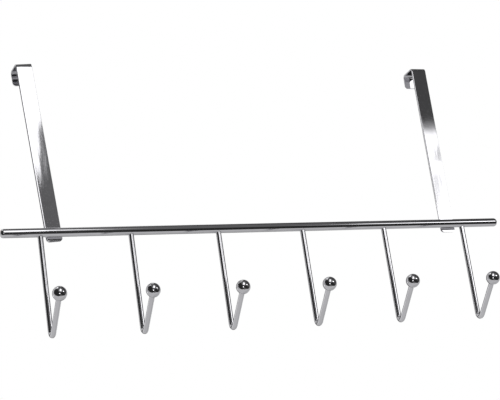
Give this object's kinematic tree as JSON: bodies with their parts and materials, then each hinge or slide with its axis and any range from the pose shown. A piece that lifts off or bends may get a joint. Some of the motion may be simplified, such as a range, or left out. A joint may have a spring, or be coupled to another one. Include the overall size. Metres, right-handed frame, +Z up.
{
  "type": "over door hook rack",
  "caption": "Over-door hook rack: round chromed rail on folded flat hangers that sit over a door's top edge, with V-bent wire hooks ending in balls below the rail.",
  "frame": {"origin": "the door's top front edge, midway between the hangers where they cross the rail: level with the underside of the right hanger's fold and in the plane of the straps' back faces", "axes": "+X along the rail to the right as seen from the room, +Y into the door, +Z up"},
  "size_m": [0.4861, 0.0696, 0.2584],
  "materials": {
    "chrome_rod": "bright chrome plate on round steel",
    "chrome_strap": "bright chrome plate on flat steel strap"
  },
  "bodies": {
    "root": {"rail": "chrome_rod", "left_hanger": "chrome_strap", "right_hanger": "chrome_strap", "hook_1": "chrome_rod", "hook_ball_1": "chrome_rod", "hook_2": "chrome_rod", "hook_ball_2": "chrome_rod", "hook_3": "chrome_rod", "hook_ball_3": "chrome_rod", "hook_4": "chrome_rod", "hook_ball_4": "chrome_rod", "hook_5": "chrome_rod", "hook_ball_5": "chrome_rod", "hook_6": "chrome_rod", "hook_ball_6": "chrome_rod"}
  },
  "joints": []
}
